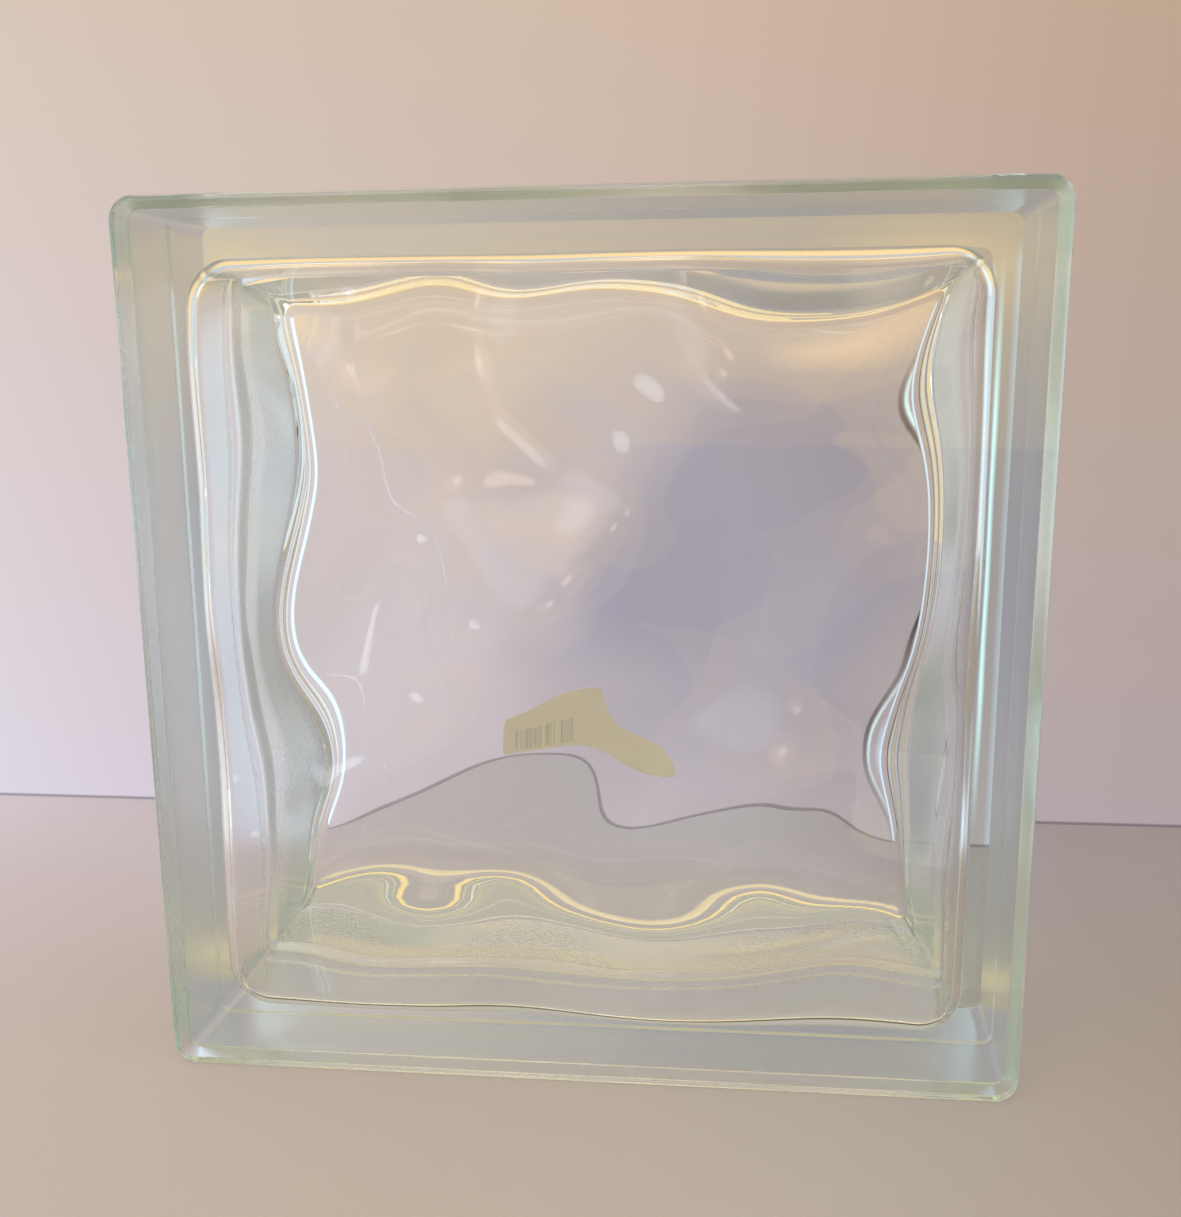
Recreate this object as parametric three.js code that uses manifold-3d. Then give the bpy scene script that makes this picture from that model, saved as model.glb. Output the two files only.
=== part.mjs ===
// A hollow glass block: two pressed glass halves, like shallow trays, fused rim to rim.
// Millimetres. X runs across the face, Z runs up, and the block stands on its edge with its
// base at Z = 0. The front face looks towards -Y and the fused seam lies in the plane Y = 0.
import * as THREE from 'three';
import { mergeVertices } from 'three/addons/utils/BufferGeometryUtils.js';
import Module from 'manifold-3d';

// Overall size.
const blockWidth = 190;
const blockHeight = 190;
const blockDepth = 80;
const outlineRadius = 5; // corners of the face, seen from the front

// Outside of the edge, from the face back to the seam.
const arrisRadius = 1.4; // softened edge between the face and the lip
const lipWidth = 4; // flat of the lip, which the block stands on
const channelSlope = 3; // run of the slope from the lip down into the channel
const channelDepth = 2.4; // mortar channel, below the lips
const channelSoftening = 1.5; // rounding at the top and the foot of the slope
const beadHalfWidth = 2.7; // rounded bead that the fusing leaves along the seam
const outerBeadHeight = 0.3;
const innerBeadHeight = 1.7;

// Inside of both halves.
const wallThickness = 9; // side wall, from the channel to the cavity, beside the seam
const seamRadius = 2.5; // corners of the cavity at the seam, seen from the front
const paneThickness = 8; // in the middle, from the face to the mean level of the waves
const crownHeight = 2.2; // how much thicker the pane is along the foot of the side walls
const crownReach = 58; // width over which it thickens
const leastRadius = 1; // left on an inner corner, whatever its fillet takes

// The plungers that press the two halves differ: draft of the side wall in degrees, hollow
// fillet between the pane and the wall, corner of the cavity at the foot of the wall, and the
// swells of the wavy inner face. Each swell has its length from crest to crest, its heading of
// travel in degrees from +X towards +Z, its half height, where it starts, in degrees, and its
// peak, which draws the crests in and spreads the troughs.
const frontPlunger = {
  wallDraft: 1,
  paneFillet: 4.4,
  footRadius: 10,
  swells: [
    { length: 66, heading: 20, height: 0.75, start: 277, peak: -0.2 },
    { length: 90, heading: 53, height: 0.9, start: 242, peak: 0.7 },
    { length: 48, heading: -45, height: 1.05, start: 262, peak: 0 },
    { length: 64, heading: 45, height: 0.85, start: 148, peak: 0 },
    { length: 86, heading: -45, height: 1.3, start: 228, peak: -0.1 },
    { length: 44, heading: 90, height: 0.25, start: 78, peak: 0.7 },
    { length: 68, heading: -24, height: 1.05, start: 263, peak: 0.4 },
    { length: 53, heading: -21, height: 0.45, start: 198, peak: -0.3 },
    { length: 51, heading: 89, height: 0.2, start: 129, peak: -0.7 },
    { length: 45, heading: -39, height: 0.55, start: 98, peak: -0.2 },
  ],
};
const backPlunger = {
  wallDraft: 6.5,
  paneFillet: 2.2,
  footRadius: 3.2,
  swells: [
    { length: 97, heading: -82, height: 0.9, start: 166, peak: 0.5 },
    { length: 58, heading: -53, height: 0.6, start: 284, peak: -0.1 },
    { length: 69, heading: -133, height: 0.65, start: 26, peak: 0.5 },
  ],
};

// Paper price label, stuck on the outside of the back pane.
const labelWidth = 38;
const labelHeight = 10;
const labelThickness = 0.12;
const labelRadius = 1.5;
const labelAcross = -10.5; // centre, from the middle of the face towards +X
const labelUp = 57.5; // centre, above the base
const labelTilt = 4; // degrees, +X end up

// Fineness of the faceting.
const cornerSteps = 4; // facets round each rounded corner of an outline
const arcSteps = 2; // half the facets round each arc of a section
const beadSteps = 4; // facets from the wall to the crest of the seam bead
const sideSteps = 16; // divisions along each side of the wavy pane
const paneRings = 13; // rings from the middle of the pane to its fillet

const wasm = await Module();
wasm.setup();

const rad = THREE.MathUtils.degToRad;
const halfDepth = blockDepth / 2;

// A closed triangle mesh as a solid, for cutting.
function toSolid(geometry) {
  const merged = mergeVertices(geometry, 1e-4);
  const mesh = new wasm.Mesh({
    numProp: 3,
    vertProperties: merged.attributes.position.array,
    triVerts: new Uint32Array(merged.index.array),
  });
  return new wasm.Manifold(mesh);
}

function toGeometry(solid) {
  const { vertProperties, triVerts } = solid.getMesh();
  const geometry = new THREE.BufferGeometry();
  geometry.setAttribute('position', new THREE.BufferAttribute(vertProperties, 3));
  geometry.setIndex(new THREE.BufferAttribute(triVerts, 1));
  return geometry;
}

// Points round a rounded rectangle about the middle of the face, each side cut into steps.
function roundedOutline(halfWidth, halfHeight, radius, steps) {
  const corners = [
    [halfWidth - radius, halfHeight - radius],
    [radius - halfWidth, halfHeight - radius],
    [radius - halfWidth, radius - halfHeight],
    [halfWidth - radius, radius - halfHeight],
  ];
  const outline = new THREE.Path();
  corners.forEach(([x, z], quarter) => {
    const from = (quarter * Math.PI) / 2;
    outline.absarc(x, z, radius, from, from + Math.PI / 2, false);
  });
  outline.closePath();
  return outline.curves.flatMap((curve) => {
    const divisions = curve.isEllipseCurve ? cornerSteps : steps;
    return curve.getPoints(divisions).slice(0, -1);
  });
}

// A solid skinned over rings of equal point counts, closed by a fan at each end. The rings
// run towards +Y and each is a list of Vector3 turning from +X towards +Z.
function loft(rings, firstCentre, lastCentre) {
  const count = rings[0].length;
  const points = [...rings.flat(), firstCentre, lastCentre];
  const first = points.length - 2;
  const last = points.length - 1;
  const faces = [];
  for (let i = 0; i < count; i++) {
    const next = (i + 1) % count;
    faces.push(first, i, next);
    for (let k = 0; k < rings.length - 1; k++) {
      const near = k * count;
      const far = near + count;
      faces.push(near + i, far + i, near + next);
      faces.push(near + next, far + i, far + next);
    }
    const end = (rings.length - 1) * count;
    faces.push(last, end + next, end + i);
  }
  const geometry = new THREE.BufferGeometry().setFromPoints(points);
  geometry.setIndex(faces);
  return toSolid(geometry);
}

// One ring of a loft: the block's outline drawn in by inset, at the level y.
function ringAt(inset, y, radius, steps) {
  const halfWidth = blockWidth / 2 - inset;
  const halfHeight = blockHeight / 2 - inset;
  const outline = roundedOutline(halfWidth, halfHeight, radius, steps);
  return outline.map((p) => new THREE.Vector3(p.x, y, p.y));
}

// Carries a section path to a corner and round it, as an arc that leads towards next.
function softCorner(path, corner, next, radius) {
  const before = corner.clone().sub(path.currentPoint).normalize();
  const after = next.clone().sub(corner).normalize();
  const turn = Math.atan2(before.cross(after), before.dot(after));
  const cut = radius * Math.tan(Math.abs(turn) / 2);
  const start = corner.clone().addScaledVector(before, -cut);
  const side = Math.sign(turn) * radius;
  const centre = start.clone().add(new THREE.Vector2(-before.y * side, before.x * side));
  const from = Math.atan2(start.y - centre.y, start.x - centre.x);
  path.lineTo(start.x, start.y);
  path.absarc(centre.x, centre.y, radius, from, from + turn, turn < 0);
}

// Half of the fused bead as section points, from the wall to the seam plane. Outside it
// stands towards a smaller inset (rise -1), and inside towards a larger one (rise 1).
function halfBead(wallInset, height, rise) {
  return Array.from({ length: beadSteps + 1 }, (_, k) => {
    const share = k / beadSteps;
    const lift = (height * (1 - Math.cos(Math.PI * share))) / 2;
    return new THREE.Vector2(wallInset + rise * lift, beadHalfWidth * (share - 1));
  });
}

// The outer form of a half: arris, lip, slope, channel and half of the seam bead.
function mouldForm() {
  const lipStart = arrisRadius - halfDepth;
  const lipEnd = lipStart + lipWidth;
  const bead = halfBead(channelDepth, outerBeadHeight, -1);
  const slopeTop = new THREE.Vector2(0, lipEnd);
  const slopeFoot = new THREE.Vector2(channelDepth, lipEnd + channelSlope);
  const section = new THREE.Path();
  section.absarc(arrisRadius, lipStart, arrisRadius, -Math.PI / 2, -Math.PI, true);
  softCorner(section, slopeTop, slopeFoot, channelSoftening);
  softCorner(section, slopeFoot, bead[0], channelSoftening);
  const points = [...section.getPoints(arcSteps), ...bead];
  const rings = points.map((p) => ringAt(p.x, p.y, outlineRadius - Math.min(p.x, channelDepth), 1));
  return loft(rings, new THREE.Vector3(0, -halfDepth, 0), new THREE.Vector3(0, 0, 0));
}

// Height of the swells at a place on the pane.
function swell(swells, x, z) {
  return swells.reduce((sum, { length, heading, height, start, peak }) => {
    const travel = x * Math.cos(rad(heading)) + z * Math.sin(rad(heading));
    const phase = (2 * Math.PI * travel) / length + rad(start);
    return sum + height * Math.cos(phase + peak * Math.sin(phase));
  }, 0);
}

// How much the pane thickens near the side walls. Each argument is a distance from a wall.
function crown(...distances) {
  return distances.reduce((sum, distance) => {
    const share = Math.max(0, 1 - distance / crownReach);
    return sum + crownHeight * share ** 2;
  }, 0);
}

// The form that shapes the inside of a half. Its end face is the wavy face of the pane, and
// the fillet round it rises and falls with the waves.
function plungerForm({ wallDraft, paneFillet, footRadius, swells }) {
  const paneLevel = paneThickness - halfDepth;
  const seamInset = channelDepth + wallThickness;
  const filletTop = paneLevel + paneFillet;
  const wallFoot = seamInset - Math.tan(rad(wallDraft)) * filletTop;
  const footWidth = blockWidth / 2 - wallFoot;
  const footHeight = blockHeight / 2 - wallFoot;
  const paneWidth = footWidth - paneFillet;
  const paneHeight = footHeight - paneFillet;
  const paneRadius = Math.max(footRadius - paneFillet, leastRadius);

  const wavyRing = (outline, level) => outline.map((p) => {
    const thickening = crown(footWidth - Math.abs(p.x), footHeight - Math.abs(p.y));
    return new THREE.Vector3(p.x, level + thickening + swell(swells, p.x, p.y), p.y);
  });

  // Pane, from the middle out, and the hollow fillet up to the foot of the wall.
  const rings = [];
  for (let k = 1; k <= paneRings; k++) {
    const share = k / paneRings;
    const outline = roundedOutline(
      paneWidth * share, paneHeight * share, paneRadius * share, sideSteps,
    );
    rings.push(wavyRing(outline, paneLevel));
  }
  const fillet = new THREE.EllipseCurve(0, 0, paneFillet, paneFillet, 0, Math.PI / 2, false);
  for (const p of fillet.getPoints(2 * arcSteps).slice(1)) {
    const outline = roundedOutline(
      paneWidth + p.y, paneHeight + p.y, paneRadius + p.y, sideSteps,
    );
    rings.push(wavyRing(outline, filletTop - p.x));
  }

  // Drafted wall and half of the seam bead, then on through the seam plane.
  const bead = halfBead(seamInset, innerBeadHeight, 1);
  const pastSeam = new THREE.Vector2(seamInset + innerBeadHeight, 2 * beadHalfWidth);
  for (const p of [...bead, pastSeam]) {
    rings.push(ringAt(p.x, p.y, seamRadius, sideSteps));
  }
  const middle = new THREE.Vector3(0, paneLevel + swell(swells, 0, 0), 0);
  return loft(rings, middle, new THREE.Vector3(0, pastSeam.y, 0));
}

// One pressed half, its face towards -Y and its rim in the plane Y = 0.
function pressedHalf(name, plunger) {
  const glass = new THREE.MeshStandardMaterial({
    color: 0xcfd8cf, roughness: 0.05, metalness: 0, transparent: true, opacity: 0.35,
  });
  const half = mouldForm().subtract(plungerForm(plunger));
  const mesh = new THREE.Mesh(toGeometry(half), glass);
  mesh.name = name;
  return mesh;
}

function priceLabel() {
  const outline = roundedOutline(labelWidth / 2, labelHeight / 2, labelRadius, 1);
  const blank = new THREE.ExtrudeGeometry(new THREE.Shape(outline), {
    depth: labelThickness, bevelEnabled: false,
  });
  const paper = new THREE.MeshStandardMaterial({ color: 0xd8cfae, roughness: 0.8, metalness: 0 });
  const mesh = new THREE.Mesh(blank, paper);
  mesh.name = 'price_label';
  return mesh;
}

const block = new THREE.Group();
block.position.z = blockHeight / 2;

block.add(pressedHalf('front_shell', frontPlunger));

// The back half is turned about the upright axis, so that the two rims meet.
const backShell = pressedHalf('back_shell', backPlunger);
backShell.rotation.z = Math.PI;
block.add(backShell);

// The label lies flat against the back face, with its thickness outwards.
const label = priceLabel();
label.rotation.set(Math.PI / 2, rad(-labelTilt), 0, 'YXZ');
label.position.set(labelAcross, halfDepth + labelThickness, labelUp - blockHeight / 2);
block.add(label);

export default block;
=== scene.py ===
import math

import bpy
import numpy as np
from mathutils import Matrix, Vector


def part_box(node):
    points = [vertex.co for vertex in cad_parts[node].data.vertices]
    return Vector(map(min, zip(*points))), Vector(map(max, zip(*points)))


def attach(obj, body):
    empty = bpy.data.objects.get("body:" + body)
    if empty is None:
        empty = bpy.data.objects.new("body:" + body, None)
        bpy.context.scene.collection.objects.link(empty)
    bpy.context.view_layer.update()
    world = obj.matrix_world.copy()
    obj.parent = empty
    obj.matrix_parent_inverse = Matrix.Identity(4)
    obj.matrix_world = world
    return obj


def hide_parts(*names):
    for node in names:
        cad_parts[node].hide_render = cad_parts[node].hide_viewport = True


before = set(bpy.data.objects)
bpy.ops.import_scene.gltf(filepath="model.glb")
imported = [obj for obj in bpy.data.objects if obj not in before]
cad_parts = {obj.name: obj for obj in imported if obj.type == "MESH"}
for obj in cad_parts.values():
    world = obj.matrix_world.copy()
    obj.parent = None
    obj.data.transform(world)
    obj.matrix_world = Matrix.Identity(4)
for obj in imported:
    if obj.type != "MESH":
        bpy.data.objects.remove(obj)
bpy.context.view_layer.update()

mm = 0.001
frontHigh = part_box("front_shell")[1]
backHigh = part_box("back_shell")[1]

# camera, looking a little down from just right of the middle
print("camera")
viewpoint = {
    "place": (0.0402, -0.3392, 0.1539),
    "turn": (76.37, 0.47, 7.03),     # tip, roll and heading in degrees
    "lens": 43.6,
    "shiftUp": 0.102,
}
cameraData = bpy.data.cameras.new("camera")
cameraData.lens = viewpoint["lens"]
cameraData.shift_y = viewpoint["shiftUp"]
cameraData.clip_start = 0.01
camera = bpy.data.objects.new("camera", cameraData)
camera.location = viewpoint["place"]
camera.rotation_euler = [math.radians(a) for a in viewpoint["turn"]]
bpy.context.scene.collection.objects.link(camera)
bpy.context.scene.camera = camera

# clear glass passes light on through many faces before it leaves
lightPaths = {"all": 18, "inGlass": 14, "offGlass": 14}
cycles = bpy.context.scene.cycles
cycles.max_bounces = lightPaths["all"]
cycles.transmission_bounces = lightPaths["inGlass"]
cycles.glossy_bounces = lightPaths["offGlass"]

bpy.context.scene.view_settings.view_transform = "Standard"


# node helpers
def newMaterial(name):
    material = bpy.data.materials.new(name)
    material.use_nodes = True
    tree = material.node_tree
    tree.nodes.clear()
    output = tree.nodes.new("ShaderNodeOutputMaterial")
    return material, tree, output


def addNode(tree, kind, settings=None, **inputs):
    node = tree.nodes.new(kind)
    for key, value in (settings or {}).items():
        setattr(node, key, value)
    for key, value in inputs.items():
        socket = node.inputs[key.replace("_", " ")]
        if isinstance(value, bpy.types.NodeSocket):
            tree.links.new(value, socket)
        else:
            socket.default_value = value
    return node


def newGroup(name, inputs, outputs):
    # a shader node group with named number sockets; returns it with its two end nodes
    group = bpy.data.node_groups.new(name, "ShaderNodeTree")
    for socketName, value in inputs.items():
        socket = group.interface.new_socket(
            name=socketName, in_out="INPUT", socket_type="NodeSocketFloat"
        )
        socket.default_value = value
    for socketName, kind in outputs.items():
        group.interface.new_socket(name=socketName, in_out="OUTPUT", socket_type=kind)
    entry = group.nodes.new("NodeGroupInput")
    leave = group.nodes.new("NodeGroupOutput")
    return group, entry, leave


def mathNode(tree, operation, *values):
    # a math step; returns its output socket
    node = tree.nodes.new("ShaderNodeMath")
    node.operation = operation
    for socket, value in zip(node.inputs, values):
        if isinstance(value, bpy.types.NodeSocket):
            tree.links.new(value, socket)
        else:
            socket.default_value = value
    return node.outputs[0]


def vectorMath(tree, operation, first, second=None):
    # a step on places or colours; returns its node
    node = tree.nodes.new("ShaderNodeVectorMath")
    node.operation = operation
    for socket, value in zip(node.inputs, (first, second)):
        if isinstance(value, bpy.types.NodeSocket):
            tree.links.new(value, socket)
        elif value is not None:
            socket.default_value = value
    return node


def mixColor(tree, share, first, second):
    # passes from the first colour to the second as the share goes from 0 to 1
    blend = addNode(tree, "ShaderNodeMix", {"data_type": "RGBA"}, Factor=share)
    for socket, tint in (("A", first), ("B", second)):
        if isinstance(tint, bpy.types.NodeSocket):
            tree.links.new(tint, blend.inputs[socket])
        else:
            blend.inputs[socket].default_value = (*tint, 1)
    return blend.outputs["Result"]


def mixShader(tree, share, first, second):
    blend = addNode(tree, "ShaderNodeMixShader", Fac=share)
    tree.links.new(first, blend.inputs[1])
    tree.links.new(second, blend.inputs[2])
    return blend.outputs["Shader"]


# floor and backdrop
print("stage")
studio = {
    # backdrop colours with painted light and shade: bright and cool far to the left and far to the
    # right where window light falls, falling off darker between, darkest right of the block, and warmer
    # higher up; place along its width, colour near the floor, colour higher up
    "wallColourAndLight": [
        (-0.50, (0.90, 1.00, 1.00), (0.85, 0.80, 0.76)),
        (-0.31, (0.92, 0.98, 1.00), (0.75, 0.66, 0.60)),
        (-0.25, (0.72, 0.65, 0.76), (0.70, 0.57, 0.47)),
        (-0.12, (0.63, 0.56, 0.63), (0.67, 0.53, 0.42)),
        (0.00, (0.54, 0.47, 0.51), (0.65, 0.49, 0.37)),
        (0.10, (0.47, 0.40, 0.42), (0.58, 0.425, 0.31)),
        (0.19, (0.43, 0.36, 0.37), (0.50, 0.355, 0.24)),
        (0.26, (0.44, 0.38, 0.40), (0.52, 0.40, 0.30)),
        (0.36, (0.72, 0.88, 0.98), (0.56, 0.64, 0.70)),
        (0.60, (0.72, 0.88, 0.98), (0.60, 0.70, 0.78)),
    ],
    "wallWidth": 1.2,
    "wallRise": (0.0, 0.30),
    # soft shade behind the block, seen only in the glass: centre and reach across and up, what
    # it keeps in the middle, and the shares of its reach between which it fades
    "wallShade": ((0.033, 0.097), (0.137, 0.130), (0.65, 0.73, 0.95), (0.15, 1.0)),
    # warm light high on the backdrop, seen only in the glass: heights, colour, share
    "wallWarmth": ((0.29, 0.35), (1.10, 0.80, 0.42), 1.0),
    # painted light and shade on the backdrop, seen only in the glass: warm and bright glowing strips
    # and dark strips that paint the glints and dark lines along its edges, and patches that paint
    # reflections clouding its panes; limits across and up, softness across and up, colour
    "paintedCards": [
        ((-0.160, -0.116), (0.176, 0.192), (0.014, 0.010), (0.88, 0.64, 0.42)),
        ((0.064, 0.112), (0.176, 0.194), (0.018, 0.010), (0.78, 0.57, 0.39)),
        ((-0.056, -0.034), (0.095, 0.118), (0.020, 0.018), (0.50, 0.455, 0.54)),
        ((-0.034, -0.014), (0.058, 0.072), (0.018, 0.016), (0.64, 0.56, 0.58)),
        ((-0.184, -0.147), (-0.01, 0.190), (0.004, 0.004), (0.96, 1.18, 1.40)),
        ((0.114, 0.130), (-0.01, 0.190), (0.003, 0.004), (0.74, 0.96, 1.20)),
        ((0.1042, 0.1064), (0.03, 0.150), (0.0005, 0.030), (0.02, 0.02, 0.02)),
        ((0.1072, 0.1084), (0.03, 0.165), (0.0006, 0.024), (0.85, 1.20, 1.28)),
        ((0.200, 0.222), (-0.01, 0.24), (0.002, 0.01), (0.02, 0.02, 0.02)),
        ((-0.272, -0.262), (-0.01, 0.24), (0.002, 0.01), (0.16, 0.15, 0.13)),
    ],
    "wallBehind": 0.130,      # clear space between the block and the backdrop
    # dark line between floor and backdrop: height and depth
    "jointShade": (0.0014, 0.50),
    # floor colours with painted light and shade: bright and cool far to the left where window light
    # falls, falling off darker to the right of the block; place along its width, colour in front,
    # colour towards the backdrop
    "floorColourAndLight": [
        (-0.36, (0.726, 0.688, 0.704), (0.75, 0.726, 0.765)),
        (-0.26, (0.551, 0.473, 0.458), (0.574, 0.505, 0.535)),
        (-0.18, (0.512, 0.436, 0.414), (0.52, 0.451, 0.467)),
        (-0.10, (0.486, 0.405, 0.344), (0.467, 0.417, 0.425)),
        (0.00, (0.473, 0.398, 0.321), (0.475, 0.445, 0.462)),
        (0.07, (0.436, 0.375, 0.321), (0.425, 0.39, 0.405)),
        (0.14, (0.346, 0.286, 0.233), (0.335, 0.286, 0.266)),
        (0.30, (0.316, 0.266, 0.223), (0.321, 0.279, 0.265)),
    ],
    "floorRun": (-0.03, 0.12),
    "floorWidth": 0.8,
    "floorRoughness": 0.6,
    "floorGlow": 0.6,         # how much of the floor's own colour shows without shade
    # faint mottling: size and detail of the noise, darkest and lightest tone
    "floorMottle": (6, 4, 0.96, 1.03),
    # painted light and shade on the floor under the block's foot and behind it, seen only in the glass:
    # bright lines standing in for light the block gathers, dark lines for the shade of its lip;
    # distance from the middle of the block in millimetres, colour, share
    "footLightAndShade": [
        (-46.0, (0.55, 0.50, 0.43), 0.0),
        (-38.0, (0.55, 0.50, 0.43), 1.0),
        (-34.2, (0.55, 0.50, 0.43), 1.0),
        (-33.4, (0.14, 0.12, 0.08), 1.0),
        (-29.6, (0.14, 0.12, 0.08), 1.0),
        (-28.6, (0.55, 0.50, 0.43), 1.0),
        (0.0, (0.47, 0.43, 0.39), 1.0),
        (40.2, (0.50, 0.465, 0.38), 1.0),
        (40.6, (1.20, 0.90, 0.36), 1.0),
        (43.2, (1.20, 0.90, 0.36), 1.0),
        (43.8, (0.46, 0.40, 0.38), 1.0),
        (51.6, (0.47, 0.41, 0.39), 1.0),
        (52.6, (0.86, 0.71, 0.43), 1.0),
        (62.0, (0.78, 0.64, 0.42), 1.0),
        (66.0, (0.60, 0.53, 0.47), 0.8),
        (74.0, (0.57, 0.50, 0.46), 0.0),
    ],
    "footWidth": (84.0, 92.0),   # where that light starts and ends to fade, to either side
    "reach": 3.0,
    # light from around: left, right, from behind the camera and from above
    "leftSky": (0.56, 0.70, 0.92),
    "rightSky": (0.84, 1.02, 1.22),
    "nearSky": (1.18, 0.86, 0.36),
    "highSky": (0.62, 0.59, 0.60),
    # where one passes into the next, by how far a direction points right, ahead and up
    "sidePass": (-0.6, 0.8),
    "nearPass": (-1.0, -0.6),
    "highPass": (0.6, 1.0),
    "plainSky": (0.80, 0.77, 0.75),   # what the camera sees where there is no backdrop
    "skyLevel": 1.0,
    "skyOnMatt": 2.1,         # the same light on paper, floor and backdrop
    # soft windows: direction, colour, size and softness in degrees
    "windows": [
        ((-0.14, -0.96, 0.24), (2.4, 1.7, 0.9), 4, 3),
        ((-0.20, -0.62, 0.75), (2.7, 2.3, 1.7), 14, 8),
        ((-0.38, -0.82, 0.42), (2.0, 2.0, 2.1), 8, 6),
        ((-0.10, -0.96, 0.26), (4.2, 3.9, 3.6), 2, 1.2),
        ((0.00, -0.89, 0.45), (4.6, 3.5, 2.4), 2.2, 1.2),
        ((-0.75, -0.66, 0.01), (4.0, 4.6, 5.0), 2.5, 1.5),
    ],
}
wallAt = backHigh.y + studio["wallBehind"]


def stagePlane(name, corners, material):
    # its glow is only looked at and lights nothing
    material.cycles.emission_sampling = "NONE"
    mesh = bpy.data.meshes.new(name)
    mesh.from_pydata(corners, [], [(0, 1, 2, 3)])
    plane = bpy.data.objects.new(name, mesh)
    bpy.context.scene.collection.objects.link(plane)
    plane.data.materials.append(material)
    return plane


def colorRun(tree, place, limits, stops, smoothing):
    # colour and share by a place between two limits; each stop has its place, colour and share
    along = addNode(tree, "ShaderNodeMapRange", Value=place, From_Min=limits[0], From_Max=limits[1])
    ramp = addNode(tree, "ShaderNodeValToRGB", Fac=along.outputs["Result"])
    ramp.color_ramp.interpolation = smoothing
    marks = ramp.color_ramp.elements
    marks.remove(marks[1])
    for number, (at, tint, share) in enumerate(stops):
        position = (at - limits[0]) / (limits[1] - limits[0])
        mark = marks.new(position) if number else marks[0]
        mark.position = position
        mark.color = (*tint, share)
    return ramp.outputs["Color"], ramp.outputs["Alpha"]


def blendOver(tree, place, width, stops, run, limits):
    # colours across the width, which pass into others between two limits of a second place
    edges = (-width / 2, width / 2)
    first = [(at, tint, 1) for at, tint, later in stops]
    second = [(at, later, 1) for at, tint, later in stops]
    share = addNode(tree, "ShaderNodeMapRange", Value=run, From_Min=limits[0], From_Max=limits[1])
    return mixColor(
        tree, share.outputs["Result"],
        colorRun(tree, place, edges, first, "B_SPLINE")[0],
        colorRun(tree, place, edges, second, "B_SPLINE")[0],
    )


def smoothShare(tree, value, limits, least=0, most=1):
    # passes from the least to the most, softly, as a value passes between two limits
    share = addNode(
        tree, "ShaderNodeMapRange", {"interpolation_type": "SMOOTHSTEP"},
        Value=value, From_Min=limits[0], From_Max=limits[1], To_Min=least, To_Max=most,
    )
    return share.outputs["Result"]


def within(tree, value, limits, soft):
    # 1 between two limits, with soft ends
    first = addNode(
        tree, "ShaderNodeMapRange", Value=value, From_Min=limits[0] - soft, From_Max=limits[0] + soft,
    )
    last = addNode(
        tree, "ShaderNodeMapRange", Value=value, From_Min=limits[1] + soft, From_Max=limits[1] - soft,
    )
    return mathNode(tree, "MULTIPLY", first.outputs["Result"], last.outputs["Result"])


def seenPlainly(tree):
    # 1 where the camera, a reflection or the glass looks at the backdrop
    rays = addNode(tree, "ShaderNodeLightPath")
    seen = mathNode(tree, "MAXIMUM", rays.outputs["Is Camera Ray"], rays.outputs["Is Glossy Ray"])
    return mathNode(tree, "MAXIMUM", seen, rays.outputs["Is Transmission Ray"])


def seenInGlass(tree):
    # 1 where only a reflection or the glass looks; the painted light and shade of the cards and at the
    # foot show there alone
    rays = addNode(tree, "ShaderNodeLightPath")
    return mathNode(tree, "MAXIMUM", rays.outputs["Is Glossy Ray"], rays.outputs["Is Transmission Ray"])


def footLightAndShade(tree, spot):
    # colour and share of the painted light and shade at the foot, by the place on the floor
    stops = [(at * mm, tint, share) for at, tint, share in studio["footLightAndShade"]]
    color, share = colorRun(
        tree, spot.outputs["Y"], (stops[0][0], stops[-1][0]), stops, "LINEAR"
    )
    width = [edge * mm for edge in studio["footWidth"]]
    across = smoothShare(tree, mathNode(tree, "ABSOLUTE", spot.outputs["X"]), width, 1, 0)
    return color, mathNode(tree, "MULTIPLY", share, across)


def floorMaterial():
    material, tree, output = newMaterial("pale_floor")
    place = addNode(tree, "ShaderNodeNewGeometry")
    spot = addNode(tree, "ShaderNodeSeparateXYZ", Vector=place.outputs["Position"])
    base = blendOver(
        tree, spot.outputs["X"], studio["floorWidth"], studio["floorColourAndLight"],
        spot.outputs["Y"], studio["floorRun"],
    )
    scale, detail, darkest, lightest = studio["floorMottle"]
    mottle = addNode(
        tree, "ShaderNodeTexNoise", Vector=place.outputs["Position"], Scale=scale, Detail=detail,
    )
    shade = addNode(
        tree, "ShaderNodeMapRange", Value=mottle.outputs["Fac"], To_Min=darkest, To_Max=lightest,
    )
    tint = addNode(
        tree, "ShaderNodeVectorMath", {"operation": "SCALE"}, Vector=base, Scale=shade.outputs["Result"]
    )
    paint = addNode(
        tree, "ShaderNodeBsdfPrincipled",
        Base_Color=tint.outputs["Vector"], Roughness=studio["floorRoughness"],
    )
    # painted light and shade at the foot, shown only where the glass looks
    footColor, footShare = footLightAndShade(tree, spot)
    footShare = mathNode(tree, "MULTIPLY", footShare, seenInGlass(tree))
    lit = mixColor(tree, footShare, tint.outputs["Vector"], footColor)
    glow = addNode(tree, "ShaderNodeEmission", Color=lit, Strength=1)
    glowShare = mathNode(tree, "MAXIMUM", footShare, studio["floorGlow"])
    share = mathNode(tree, "MULTIPLY", seenPlainly(tree), glowShare)
    look = mixShader(tree, share, paint.outputs["BSDF"], glow.outputs["Emission"])
    tree.links.new(look, output.inputs["Surface"])
    return material


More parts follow.
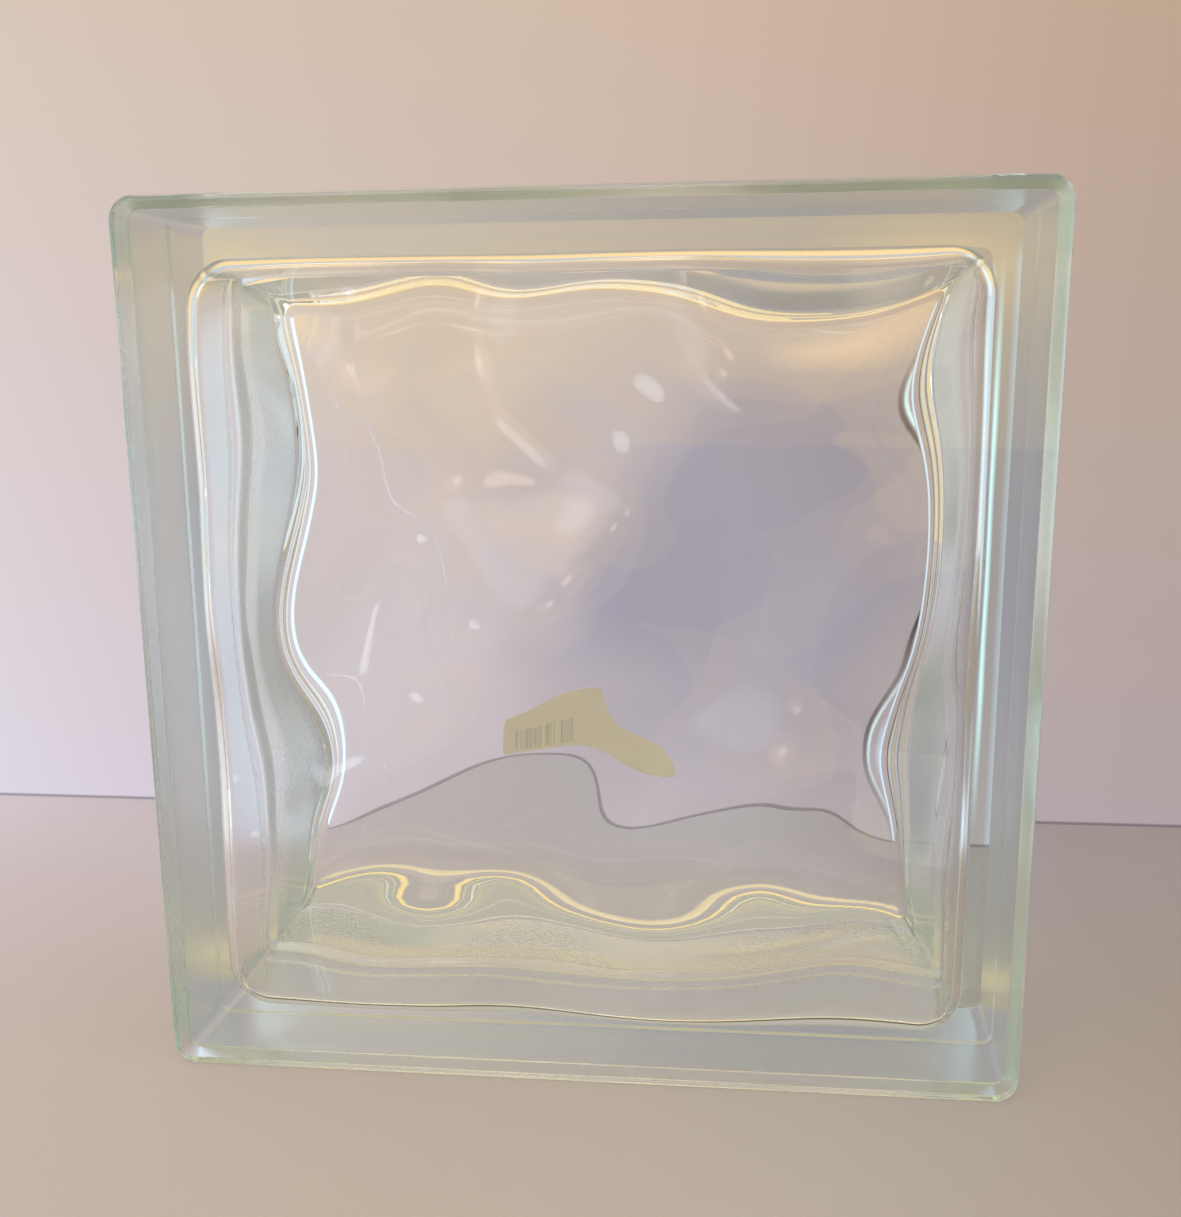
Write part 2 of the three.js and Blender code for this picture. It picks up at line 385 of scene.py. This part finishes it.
def inShade(tree, place, tint):
    # the backdrop's colour under the soft shade behind the block
    centre, size, kept, fade = studio["wallShade"]
    away = vectorMath(tree, "SUBTRACT", place, (centre[0], wallAt, centre[1]))
    share = vectorMath(tree, "DIVIDE", away.outputs["Vector"], (size[0], 1, size[1]))
    far = vectorMath(tree, "LENGTH", share.outputs["Vector"])
    shade = mixColor(
        tree, smoothShare(tree, far.outputs["Value"], fade), kept, (1.0, 1.0, 1.0)
    )
    return vectorMath(tree, "MULTIPLY", tint, shade).outputs["Vector"]


def withPaintedLight(tree, spot, tint):
    # the painted warm light high up, and then the painted light and shade cards over each other
    heights, warm, warmth = studio["wallWarmth"]
    rise = smoothShare(tree, spot.outputs["Z"], heights, 0, warmth)
    tint = mixColor(tree, rise, tint, warm)
    for across, up, soft, paintedTint in studio["paintedCards"]:
        cover = mathNode(
            tree, "MULTIPLY",
            within(tree, spot.outputs["X"], across, soft[0]),
            within(tree, spot.outputs["Z"], up, soft[1]),
        )
        tint = mixColor(tree, cover, tint, paintedTint)
    return tint


def wallMaterial():
    material, tree, output = newMaterial("pale_wall")
    place = addNode(tree, "ShaderNodeNewGeometry")
    spot = addNode(tree, "ShaderNodeSeparateXYZ", Vector=place.outputs["Position"])
    blend = blendOver(
        tree, spot.outputs["X"], studio["wallWidth"], studio["wallColourAndLight"],
        spot.outputs["Z"], studio["wallRise"],
    )
    # painted shade behind the block, painted warm light high up and the painted cards, shown only where
    # the glass looks
    tone = withPaintedLight(tree, spot, inShade(tree, place.outputs["Position"], blend))
    paintedTone = mixColor(tree, seenInGlass(tree), blend, tone)
    jointHeight, jointDepth = studio["jointShade"]
    joint = smoothShare(
        tree, spot.outputs["Z"], (jointHeight / 2, jointHeight), 1 - jointDepth, 1
    )
    paint = addNode(tree, "ShaderNodeVectorMath", {"operation": "SCALE"}, Vector=paintedTone, Scale=joint)
    matt = addNode(tree, "ShaderNodeBsdfDiffuse", Color=paint.outputs["Vector"])
    shown = addNode(tree, "ShaderNodeEmission", Color=paint.outputs["Vector"], Strength=1)
    look = mixShader(tree, seenPlainly(tree), matt.outputs["BSDF"], shown.outputs["Emission"])
    # seen from behind, the backdrop lets the block show
    clear = addNode(tree, "ShaderNodeBsdfTransparent")
    side = mixShader(tree, place.outputs["Backfacing"], look, clear.outputs["BSDF"])
    tree.links.new(side, output.inputs["Surface"])
    return material


reach = studio["reach"]
stagePlane(
    "floor",
    [(-reach, -reach, 0), (reach, -reach, 0), (reach, reach, 0), (-reach, reach, 0)],
    floorMaterial(),
)
stagePlane(
    "backdrop",
    [(-reach, wallAt, 0), (reach, wallAt, 0), (reach, wallAt, reach), (-reach, wallAt, reach)],
    wallMaterial(),
)


def skyTint(tree, toward):
    # colour of the light that comes from each direction
    aim = addNode(tree, "ShaderNodeSeparateXYZ", Vector=toward)
    right = smoothShare(tree, aim.outputs["X"], studio["sidePass"])
    ahead = smoothShare(tree, aim.outputs["Y"], studio["nearPass"])
    above = smoothShare(tree, aim.outputs["Z"], studio["highPass"])
    tint = mixColor(tree, right, studio["leftSky"], studio["rightSky"])
    tint = mixColor(tree, ahead, studio["nearSky"], tint)
    tint = mixColor(tree, above, tint, studio["highSky"])
    for toWindow, windowTint, size, softness in studio["windows"]:
        facing = vectorMath(tree, "DOT_PRODUCT", toward, Vector(toWindow).normalized())
        edge = math.cos(math.radians(size + softness))
        heart = math.cos(math.radians(size - softness))
        cover = smoothShare(tree, facing.outputs["Value"], (edge, heart))
        tint = mixColor(tree, cover, tint, windowTint)
    return tint


def lightWorld():
    world = bpy.data.worlds.new("studio")
    bpy.context.scene.world = world
    world.use_nodes = True
    tree = world.node_tree
    tree.nodes.clear()
    toward = addNode(tree, "ShaderNodeTexCoord").outputs["Generated"]
    ray = addNode(tree, "ShaderNodeLightPath")
    onMatt = mathNode(tree, "GREATER_THAN", ray.outputs["Diffuse Depth"], 0.5)
    level = addNode(
        tree, "ShaderNodeMapRange",
        Value=onMatt, To_Min=studio["skyLevel"], To_Max=studio["skyOnMatt"],
    )
    around = mixColor(tree, ray.outputs["Is Camera Ray"], skyTint(tree, toward), studio["plainSky"])
    sky = addNode(tree, "ShaderNodeBackground", Color=around, Strength=level.outputs["Result"])
    output = addNode(tree, "ShaderNodeOutputWorld")
    tree.links.new(sky.outputs["Background"], output.inputs["Surface"])


lightWorld()

# glass body: both fused halves as one clear skin round one sealed air space
print("glass")
glass = {
    "outlineRadius": 5.0,
    "arrisRadius": 1.4,
    "lipWidth": 4.0,
    "channelDepth": 2.4,
    "channelSlope": 3.0,
    "softening": 1.5,         # rounding where lip, slope and channel meet
    "outerBeadHeight": 0.3,
    "innerBeadHeight": 1.7,
    "seamBeadHalfWidth": 2.7,
    "wallThickness": 9.0,
    "seamRadius": 2.5,        # corners of the hollow at the seam
    "paneThickness": 8.0,     # in the middle, to the mean level of the waves
    "crownHeight": 2.2,       # how much thicker the pane is along the side walls
    "crownReach": 58.0,
    "leastRadius": 1.0,       # of the corners of the pane inside its fillet
    "seamWaver": {"reach": 0.3, "waves": [(3, 0.4), (7, 2.1), (12, 4.0), (19, 1.0)]},
    "beadClear": 0.8,         # plain wall between its last ring and the bead
    # fineness of the mesh
    "cornerSteps": 12,
    "sideSteps": 60,
    "paneRings": 46,
    "filletSteps": 14,
    "edgeSteps": 6,
    "beadSteps": 16,
}

# what the plunger of each half leaves: draft of the side wall in degrees, fillet between pane
# and wall, corner of the hollow at the foot of the wall, and the swells of the wavy pane, with
# length and height in millimetres, heading and start in degrees, and peak, which draws the
# crests in and spreads the troughs
frontPlunger = {
    "wallDraft": 1.0,
    "paneFillet": 4.4,
    "footRadius": 10.0,
    "swells": [
        {"length": 66, "heading": 20, "height": 0.75, "start": 277, "peak": -0.2},
        {"length": 90, "heading": 53, "height": 0.9, "start": 242, "peak": 0.7},
        {"length": 48, "heading": -45, "height": 1.05, "start": 262, "peak": 0},
        {"length": 64, "heading": 45, "height": 0.85, "start": 148, "peak": 0},
        {"length": 86, "heading": -45, "height": 1.3, "start": 228, "peak": -0.1},
        {"length": 44, "heading": 90, "height": 0.25, "start": 78, "peak": 0.7},
        {"length": 68, "heading": -24, "height": 1.05, "start": 263, "peak": 0.4},
        {"length": 53, "heading": -21, "height": 0.45, "start": 198, "peak": -0.3},
        {"length": 51, "heading": 89, "height": 0.2, "start": 129, "peak": -0.7},
        {"length": 45, "heading": -39, "height": 0.55, "start": 98, "peak": -0.2},
    ],
}
backPlunger = {
    "wallDraft": 6.5,
    "paneFillet": 2.2,
    "footRadius": 3.2,
    "swells": [
        {"length": 97, "heading": -82, "height": 0.9, "start": 166, "peak": 0.5},
        {"length": 58, "heading": -53, "height": 0.6, "start": 284, "peak": -0.1},
        {"length": 69, "heading": -133, "height": 0.65, "start": 26, "peak": 0.5},
    ],
}

halfWide = frontHigh.x / mm
halfHigh = frontHigh.z / mm / 2
halfDeep = backHigh.y / mm


def swell(swells, x, z):
    total = 0
    for wave in swells:
        heading = math.radians(wave["heading"])
        travel = x * math.cos(heading) + z * math.sin(heading)
        phase = 2 * math.pi * travel / wave["length"] + math.radians(wave["start"])
        total = total + wave["height"] * np.cos(phase + wave["peak"] * np.sin(phase))
    return total


def crown(x, z, footWide, footHigh):
    # how much the pane thickens towards the side walls
    reach = glass["crownReach"]
    near = np.maximum(0, 1 - (footWide - abs(x)) / reach)
    over = np.maximum(0, 1 - (footHigh - abs(z)) / reach)
    return glass["crownHeight"] * (near ** 2 + over ** 2)


def roundedOutline(wide, high, radius):
    # points and outward directions round a rounded rectangle
    corners = [
        (wide - radius, high - radius), (radius - wide, high - radius),
        (radius - wide, radius - high), (wide - radius, radius - high),
    ]
    points, facing = [], []
    for quarter, (x, z) in enumerate(corners):
        angles = np.radians(np.linspace(90 * quarter, 90 * quarter + 90, glass["cornerSteps"] + 1))
        arc = np.stack([np.cos(angles), np.sin(angles)], 1)
        points.extend(np.array([x, z]) + radius * arc)
        facing.extend(arc)
        nx, nz = corners[(quarter + 1) % 4]
        start = points[-1]
        end = np.array([nx, nz]) + radius * arc[-1]
        for share in np.linspace(0, 1, glass["sideSteps"] + 1)[1:-1]:
            points.append(start + share * (end - start))
            facing.append(arc[-1])
    return np.array(points), np.array(facing)


def softPath(vertices):
    # a section through corners (inset, depth, radius), as points and unit tangents
    steps = glass["edgeSteps"]
    points, tangents = [], []
    for i, (x, y, radius) in enumerate(vertices):
        here = np.array([x, y], float)
        if i == 0 or i == len(vertices) - 1:
            other = np.array(vertices[1 if i == 0 else i - 1][:2], float)
            along = (other - here) if i == 0 else (here - other)
            points.append(here)
            tangents.append(along / np.linalg.norm(along))
            continue
        before = here - np.array(vertices[i - 1][:2], float)
        after = np.array(vertices[i + 1][:2], float) - here
        before, after = before / np.linalg.norm(before), after / np.linalg.norm(after)
        turn = math.acos(np.clip(before @ after, -1, 1))
        cut = radius * math.tan(turn / 2)
        side = np.sign(before[0] * after[1] - before[1] * after[0])
        centre = here - before * cut + side * radius * np.array([-before[1], before[0]])
        for step in range(steps + 1):
            angle = side * turn * step / steps
            c, s = math.cos(angle), math.sin(angle)
            tangent = np.array([c * before[0] - s * before[1], s * before[0] + c * before[1]])
            points.append(centre - side * radius * np.array([-tangent[1], tangent[0]]))
            tangents.append(tangent)
    return np.array(points), np.array(tangents)


def beadPath(height):
    # rounded bead that the fusing leaves across the seam: depth, lift and slope
    half = glass["seamBeadHalfWidth"]
    depth = np.linspace(-half, half, glass["beadSteps"] + 1)
    lift = height * (1 + np.cos(math.pi * depth / half)) / 2
    slope = -height * math.pi / (2 * half) * np.sin(math.pi * depth / half)
    return depth, lift, slope


def sweepPath(points, tangents):
    # rings round the outside for each section point, with exact normals
    rings, normals = [], []
    for (inset, depth), (along, across) in zip(points, tangents):
        outline, facing = roundedOutline(
            halfWide - inset, halfHigh - inset, glass["outlineRadius"] - inset
        )
        rings.append(np.stack([outline[:, 0], np.full(len(outline), depth), outline[:, 1]], 1))
        normals.append(np.stack(
            [across * facing[:, 0], np.full(len(outline), along), across * facing[:, 1]], 1
        ))
    return rings, normals


def sweepBead(inset, radius, height, rise, side):
    # the bead's rings; rise is -1 outside and 1 inside, and side is the other way round. Its
    # height wanders along the seam
    waver = glass["seamWaver"]
    outline, facing = roundedOutline(halfWide - inset, halfHigh - inset, radius)
    turns = np.arctan2(outline[:, 1], outline[:, 0])
    share = 1 + waver["reach"] * sum(
        np.cos(count * turns + start) for count, start in waver["waves"]
    ) / len(waver["waves"])
    rings, normals = [], []
    for depth, lift, slope in zip(*beadPath(height)):
        drawn = -rise * lift * share
        across = side * rise * slope * share
        scale = 1 / np.sqrt(1 + across ** 2)
        rings.append(np.stack([
            outline[:, 0] + drawn * facing[:, 0],
            np.full(len(outline), depth),
            outline[:, 1] + drawn * facing[:, 1],
        ], 1))
        normals.append(np.stack([
            side * facing[:, 0] * scale, across * scale, side * facing[:, 1] * scale
        ], 1))
    return rings, normals


def wavyRing(swells, facing, outline, level, foot, tilt, outward):
    # one ring of a pane's inner face or fillet; facing is -1 in front and 1 behind
    small = 0.05
    x, z = outline[:, 0], outline[:, 1]

    def reliefAt(u, v):
        # the back half is turned about the upright axis, and so are its waves
        return swell(swells, -facing * u, v) + crown(u, v, *foot)

    slopeX = (reliefAt(x + small, z) - reliefAt(x - small, z)) / (2 * small)
    slopeZ = (reliefAt(x, z + small) - reliefAt(x, z - small)) / (2 * small)
    ring = np.stack([x, facing * (level - reliefAt(x, z)), z], 1)
    across, along = np.cos(tilt), np.sin(tilt)
    normal = np.stack([
        -along * outward[:, 0] - across * slopeX,
        -facing * across,
        -along * outward[:, 1] - across * slopeZ,
    ], 1)
    return ring, normal / np.linalg.norm(normal, axis=1)[:, None]


def plungerRings(plunger, facing):
    # rings inside one half, from the middle of the pane out and along the wall to the bead
    level = halfDeep - glass["paneThickness"]
    fillet = plunger["paneFillet"]
    seamInset = glass["channelDepth"] + glass["wallThickness"]
    drawnIn = math.tan(math.radians(plunger["wallDraft"]))
    wallFoot = seamInset + drawnIn * (level - fillet)
    foot = (halfWide - wallFoot, halfHigh - wallFoot)
    paneWide, paneHigh = foot[0] - fillet, foot[1] - fillet
    radius = max(plunger["footRadius"] - fillet, glass["leastRadius"])
    rings, normals = [], []
    for step in range(1, glass["paneRings"] + 1):
        share = step / glass["paneRings"]
        outline, outward = roundedOutline(paneWide * share, paneHigh * share, radius * share)
        ring, normal = wavyRing(
            plunger["swells"], facing, outline, level, foot, np.zeros(len(outline)), outward
        )
        rings.append(ring)
        normals.append(normal)
    # how far the wall leans out towards the seam; its corners lean more, as they grow sharper
    beadStart = glass["seamBeadHalfWidth"]
    sharpening = (glass["seamRadius"] - radius - fillet) / (level - fillet - beadStart)
    outline, outward = roundedOutline(paneWide, paneHigh, radius)
    roundness = np.abs(outward).sum(axis=1)
    lean = (drawnIn - sharpening) * roundness + sharpening
    for step in range(1, glass["filletSteps"] + 1):
        turn = (math.pi / 2 - np.arctan(lean)) * step / glass["filletSteps"]
        edge = outline + fillet * np.sin(turn)[:, None] * outward
        depth = level - fillet * (1 - np.cos(turn))
        ring, normal = wavyRing(plunger["swells"], facing, edge, depth, foot, turn, outward)
        rings.append(ring)
        normals.append(normal)
    clear = beadStart + glass["beadClear"]
    inset = seamInset + drawnIn * clear
    edge, outward = roundedOutline(
        halfWide - inset, halfHigh - inset, glass["seamRadius"] - sharpening * glass["beadClear"]
    )
    rings.append(np.stack([edge[:, 0], np.full(len(edge), facing * clear), edge[:, 1]], 1))
    normal = np.stack([-outward[:, 0], -facing * lean, -outward[:, 1]], 1)
    normals.append(normal / np.linalg.norm(normal, axis=1)[:, None])
    return rings, normals


class Skin:
    # vertices, faces and normals of one mesh, gathered piece by piece
    def __init__(self):
        self.points, self.normals, self.faces = [], [], []

    def addRings(self, rings, normals, inward):
        count = len(rings[0])
        base = len(self.points)
        for ring, normal in zip(rings, normals):
            self.points.extend(ring)
            self.normals.extend(normal)
        for k in range(len(rings) - 1):
            for i in range(count):
                j = (i + 1) % count
                near, far = base + k * count, base + (k + 1) * count
                face = (near + i, far + i, far + j, near + j)
                self.faces.append(face[::-1] if inward else face)
        first = tuple(range(base, base + count))
        last = tuple(range(base + (len(rings) - 1) * count, base + len(rings) * count))
        self.faces.append(first[::-1] if inward else first)
        self.faces.append(last if inward else last[::-1])

    def toObject(self, name):
        mesh = bpy.data.meshes.new(name)
        mesh.from_pydata([tuple(p) for p in self.points], [], self.faces)
        mesh.validate()
        for polygon in mesh.polygons:
            polygon.use_smooth = True
        mesh.normals_split_custom_set_from_vertices([tuple(n) for n in self.normals])
        made = bpy.data.objects.new(name, mesh)
        bpy.context.scene.collection.objects.link(made)
        return made


def outerSkin():
    lipStart = -halfDeep
    lipEnd = lipStart + glass["arrisRadius"] + glass["lipWidth"]
    channelAt = glass["channelDepth"]
    points, tangents = softPath([
        (glass["arrisRadius"] * 2, lipStart, 0),
        (0, lipStart, glass["arrisRadius"]),
        (0, lipEnd, glass["softening"]),
        (channelAt, lipEnd + glass["channelSlope"], glass["softening"]),
        (channelAt, -glass["seamBeadHalfWidth"], 0),
    ])
    front = sweepPath(points[1:-1], tangents[1:-1])
    bead = sweepBead(
        channelAt, glass["outlineRadius"] - channelAt, glass["outerBeadHeight"], -1, 1
    )
    # the back half's rings are mirrored in the seam plane and in reverse order
    flip = np.array([1, -1, 1])
    back = [[ring * flip for ring in run[::-1]] for run in front]
    return [first + middle + last for first, middle, last in zip(front, bead, back)]


def innerSkin():
    seamInset = glass["channelDepth"] + glass["wallThickness"]
    bead = sweepBead(seamInset, glass["seamRadius"], glass["innerBeadHeight"], 1, -1)
    front = plungerRings(frontPlunger, -1)
    back = plungerRings(backPlunger, 1)
    return [first + middle + last[::-1] for first, middle, last in zip(front, bead, back)]


def glassBody():
    body = Skin()
    body.addRings(*outerSkin(), False)
    body.addRings(*innerSkin(), True)
    lift = np.array([0, 0, halfHigh])
    body.points = [(p + lift) * mm for p in body.points]
    return body.toObject("glass_body")


# finish of the glass: fire-polished faces, and a mortar channel left rough by the mould
finish = {
    "refraction": 1.52,
    "channelRoughness": 0.30,
    "channelGrain": 0.02,     # height
    "channelGrainScale": 900,
    "roughInset": 5.0,        # how far in from the outline the rough edge reaches
    "pastLip": 0.2,           # how far it reaches onto the lip
    "faceRipple": 0.05,       # height
    "faceRippleScale": 45,
    "absorb": (0.68, 0.88, 0.70, 1),
    "absorbDensity": 5.5,
}


def channelMask(name="channel_grain"):
    # 1 in the mortar channel and on its slopes, 0 on faces, lips and inside; with its grain
    lipEnd = halfDeep - glass["arrisRadius"] - glass["lipWidth"]
    group, entry, leave = newGroup(
        name,
        {
            "Half Wide": halfWide * mm,
            "Half High": halfHigh * mm,
            "Reach In": finish["roughInset"] * mm,
            "Reach Out": (lipEnd + finish["pastLip"]) * mm,
            "Grain Scale": finish["channelGrainScale"],
        },
        {"Mask": "NodeSocketFloat", "Grain": "NodeSocketFloat"},
    )
    place = addNode(group, "ShaderNodeTexCoord")
    split = addNode(group, "ShaderNodeSeparateXYZ", Vector=place.outputs["Object"])
    fromSide = mathNode(
        group, "SUBTRACT", entry.outputs["Half Wide"], mathNode(group, "ABSOLUTE", split.outputs["X"])
    )
    up = mathNode(group, "SUBTRACT", split.outputs["Z"], entry.outputs["Half High"])
    fromEnd = mathNode(
        group, "SUBTRACT", entry.outputs["Half High"], mathNode(group, "ABSOLUTE", up)
    )
    inset = mathNode(group, "MINIMUM", fromSide, fromEnd)
    deep = mathNode(group, "ABSOLUTE", split.outputs["Y"])
    onEdge = mathNode(group, "LESS_THAN", inset, entry.outputs["Reach In"])
    between = mathNode(group, "LESS_THAN", deep, entry.outputs["Reach Out"])
    group.links.new(mathNode(group, "MULTIPLY", onEdge, between), leave.inputs["Mask"])
    grain = addNode(
        group, "ShaderNodeTexNoise", Vector=place.outputs["Object"],
        Scale=entry.outputs["Grain Scale"], Detail=0,
    )
    group.links.new(grain.outputs["Fac"], leave.inputs["Grain"])
    return group


def glassMaterial():
    material, tree, output = newMaterial("clear_pressed_glass")
    channel = addNode(tree, "ShaderNodeGroup", {"node_tree": channelMask()})
    roughness = mathNode(tree, "MULTIPLY", channel.outputs["Mask"], finish["channelRoughness"])
    place = addNode(tree, "ShaderNodeTexCoord")
    ripple = addNode(
        tree, "ShaderNodeTexNoise", Vector=place.outputs["Object"],
        Scale=finish["faceRippleScale"], Detail=0,
    )
    grain = mathNode(tree, "MULTIPLY", channel.outputs["Grain"], channel.outputs["Mask"])
    grainHeight = mathNode(tree, "MULTIPLY", grain, finish["channelGrain"] * mm)
    rippleHeight = mathNode(tree, "MULTIPLY", ripple.outputs["Fac"], finish["faceRipple"] * mm)
    relief = addNode(
        tree, "ShaderNodeBump", Height=mathNode(tree, "ADD", grainHeight, rippleHeight),
        Strength=1, Distance=1,
    )
    clear = addNode(
        tree, "ShaderNodeBsdfPrincipled",
        Base_Color=(1, 1, 1, 1), Roughness=roughness, IOR=finish["refraction"],
        Transmission_Weight=1.0, Normal=relief.outputs["Normal"],
    )
    tint = addNode(
        tree, "ShaderNodeVolumeAbsorption",
        Color=finish["absorb"], Density=finish["absorbDensity"],
    )
    tree.links.new(clear.outputs["BSDF"], output.inputs["Surface"])
    tree.links.new(tint.outputs["Volume"], output.inputs["Volume"])
    return material


glassPiece = glassBody()
glassPiece.data.materials.append(glassMaterial())
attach(glassPiece, "root")
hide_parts("front_shell", "back_shell")

# paper price label on the outside of the back pane, seen from inside through both panes
print("label")
label = {
    "wide": 38.0,
    "high": 10.0,
    "radius": 1.5,
    "thick": 0.08,
    "gap": 0.04,             # of gum, between the paper and the glass
    "tilt": 4.0,             # degrees, +X end up
    "across": -10.5,         # centre, from the middle of the block
    "up": 57.5,              # centre, above the base
    "cornerTurn": 10,        # degrees between the points of a round corner
    "paper": (0.98, 0.91, 0.74),
    "roughness": 0.85,
    "ink": (0.56, 0.52, 0.42),
    "inkShare": 0.55,
    # the printed bars: from left to right and from bottom to top, in millimetres from the middle
    "barsAcross": (-14.5, 9.0),
    "barsUp": (-4.0, 1.6),
    "barSoftness": 0.05,
    "barPitch": 0.42,
    "barShare": 0.5,         # of the pitches that are inked
    "mottle": 0.05,
    "fibreScale": 0.35,      # to the millimetre
    "fibreDetail": 5,
}


def labelPaper():
    # a thin closed sheet with round corners, lying against the back face
    turns = np.radians(np.arange(0, 360, label["cornerTurn"]))
    arcs = np.stack([np.cos(turns), np.sin(turns)], 1)
    corner = np.array([label["wide"] / 2 - label["radius"], label["high"] / 2 - label["radius"]])
    outline = np.sign(arcs + 1e-6) * corner + label["radius"] * arcs
    tilt = math.radians(label["tilt"])
    x = outline[:, 0] * math.cos(tilt) - outline[:, 1] * math.sin(tilt) + label["across"]
    z = outline[:, 0] * math.sin(tilt) + outline[:, 1] * math.cos(tilt) + label["up"]
    near = halfDeep + label["gap"]
    points = []
    for y in (near, near + label["thick"]):
        points.extend(zip(x * mm, np.full(len(x), y * mm), z * mm))
    count = len(x)
    faces = [tuple(range(count)), tuple(range(2 * count - 1, count - 1, -1))]
    for i in range(count):
        j = (i + 1) % count
        faces.append((i, i + count, j + count, j))
    mesh = bpy.data.meshes.new("label_sheet")
    mesh.from_pydata(points, [], faces)
    sheet = bpy.data.objects.new("label_sheet", mesh)
    bpy.context.scene.collection.objects.link(sheet)
    return sheet


def printedBars(name="printed_bars"):
    # upright bars of uneven widths; Paper Place is in millimetres from the middle of the label
    group, entry, leave = newGroup(
        name, {"Pitch": label["barPitch"], "Share": label["barShare"]}, {"Ink": "NodeSocketFloat"},
    )
    place = group.interface.new_socket("Paper Place", in_out="INPUT", socket_type="NodeSocketVector")
    split = addNode(group, "ShaderNodeSeparateXYZ", Vector=entry.outputs[place.name])
    step = mathNode(
        group, "FLOOR", mathNode(group, "DIVIDE", split.outputs["X"], entry.outputs["Pitch"])
    )
    pick = addNode(group, "ShaderNodeTexWhiteNoise", {"noise_dimensions": "1D"}, W=step)
    inked = mathNode(group, "LESS_THAN", pick.outputs["Value"], entry.outputs["Share"])
    field = mathNode(
        group, "MULTIPLY",
        within(group, split.outputs["X"], label["barsAcross"], label["barSoftness"]),
        within(group, split.outputs["Z"], label["barsUp"], label["barSoftness"]),
    )
    group.links.new(mathNode(group, "MULTIPLY", inked, field), leave.inputs["Ink"])
    return group


def paperMaterial():
    material, tree, output = newMaterial("label_paper")
    spot = addNode(tree, "ShaderNodeTexCoord")
    onPaper = addNode(
        tree, "ShaderNodeMapping", {"vector_type": "TEXTURE"}, Vector=spot.outputs["Object"],
        Location=(label["across"] * mm, 0, label["up"] * mm),
        Rotation=(0, -math.radians(label["tilt"]), 0), Scale=(mm, mm, mm),
    )
    bars = addNode(
        tree, "ShaderNodeGroup", {"node_tree": printedBars()}, Paper_Place=onPaper.outputs["Vector"],
    )
    fibre = addNode(
        tree, "ShaderNodeTexNoise", Vector=onPaper.outputs["Vector"],
        Scale=label["fibreScale"], Detail=label["fibreDetail"],
    )
    tone = addNode(
        tree, "ShaderNodeMapRange", Value=fibre.outputs["Fac"],
        To_Min=1 - label["mottle"], To_Max=1 + label["mottle"],
    )
    paper = addNode(
        tree, "ShaderNodeVectorMath", {"operation": "SCALE"},
        Vector=label["paper"], Scale=tone.outputs["Result"],
    )
    inked = mathNode(tree, "MULTIPLY", bars.outputs["Ink"], label["inkShare"])
    dye = mixColor(tree, inked, paper.outputs["Vector"], label["ink"])
    sheet = addNode(
        tree, "ShaderNodeBsdfPrincipled", Base_Color=dye, Roughness=label["roughness"],
    )
    tree.links.new(sheet.outputs["BSDF"], output.inputs["Surface"])
    return material


labelPiece = labelPaper()
labelPiece.data.materials.append(paperMaterial())
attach(labelPiece, "root")
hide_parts("price_label")
